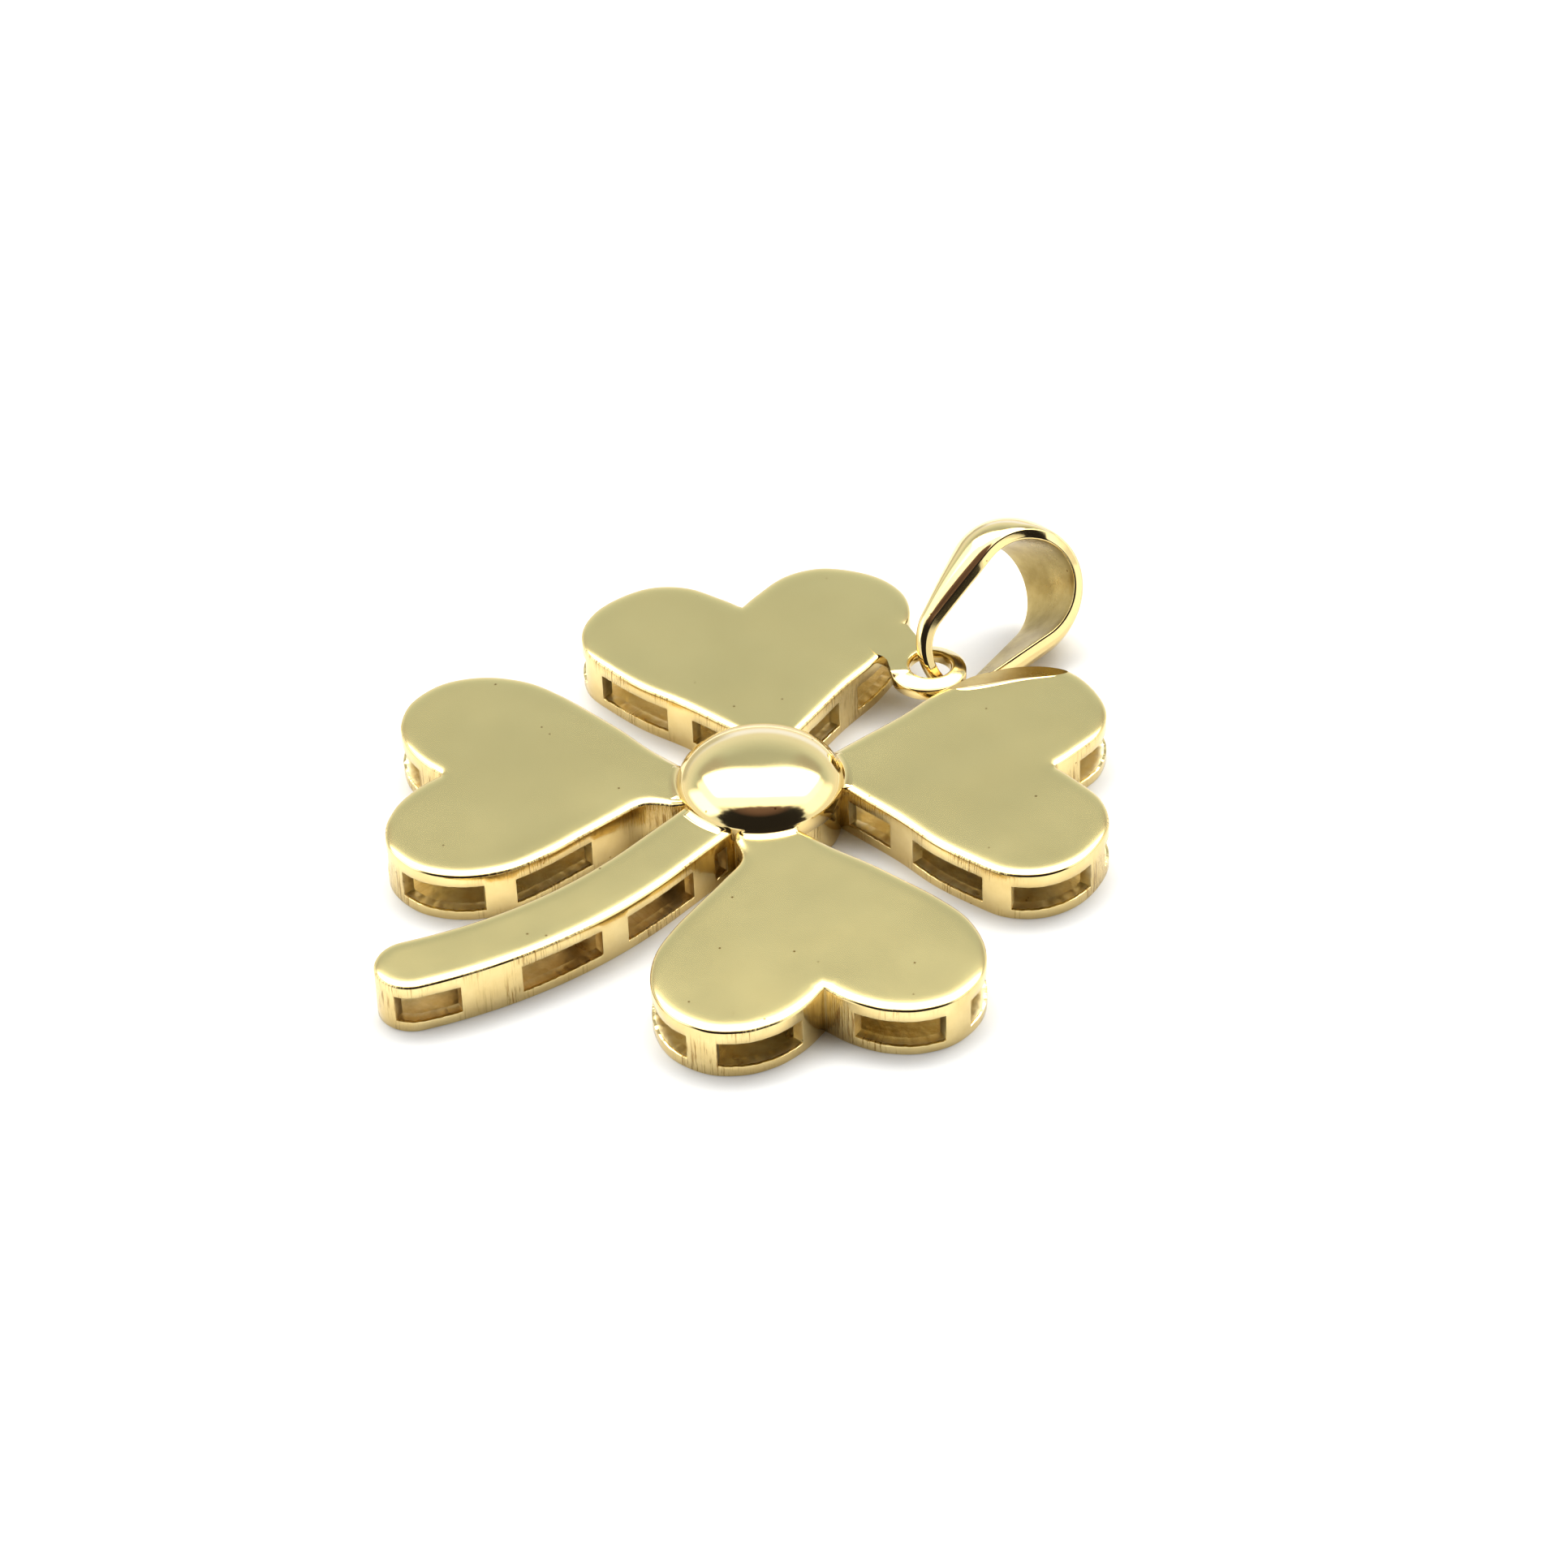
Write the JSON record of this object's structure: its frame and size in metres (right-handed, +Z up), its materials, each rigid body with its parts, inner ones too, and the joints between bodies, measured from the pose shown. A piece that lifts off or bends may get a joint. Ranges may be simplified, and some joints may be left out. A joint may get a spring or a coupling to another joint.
{
  "type": "four leaf clover pendant",
  "caption": "Yellow gold clover pendant with hollow heart-shaped leaves on pierced side walls, a bent stem, a domed centre and a loose tapered bail.",
  "frame": {"origin": "on the dome's axis at the height of the flat back, which is close to the centre of the overall box", "axes": "+Z up, away from the resting surface and out of the flat tops; +Y towards the ring lug and the bail; +X towards the leaves on the right as the pendant is worn and seen from the front"},
  "size_m": [0.0196, 0.0247, 0.0039],
  "materials": {
    "gold_body": "yellow gold, satin flat tops with polished rims and walls",
    "gold_bail": "yellow gold, polished outside and satin inside"
  },
  "bodies": {
    "clover": {"clover_body": "gold_body"},
    "bail_link": {"bail": "gold_bail"}
  },
  "joints": [
    {"name": "bail_swing", "type": "hinge", "parent": "clover", "child": "bail_link", "pos_m": [0.00016, 0.00812, 0.00133], "axis": [0.843, -0.1089, 0.5268], "range_deg": [-40, 25]}
  ]
}
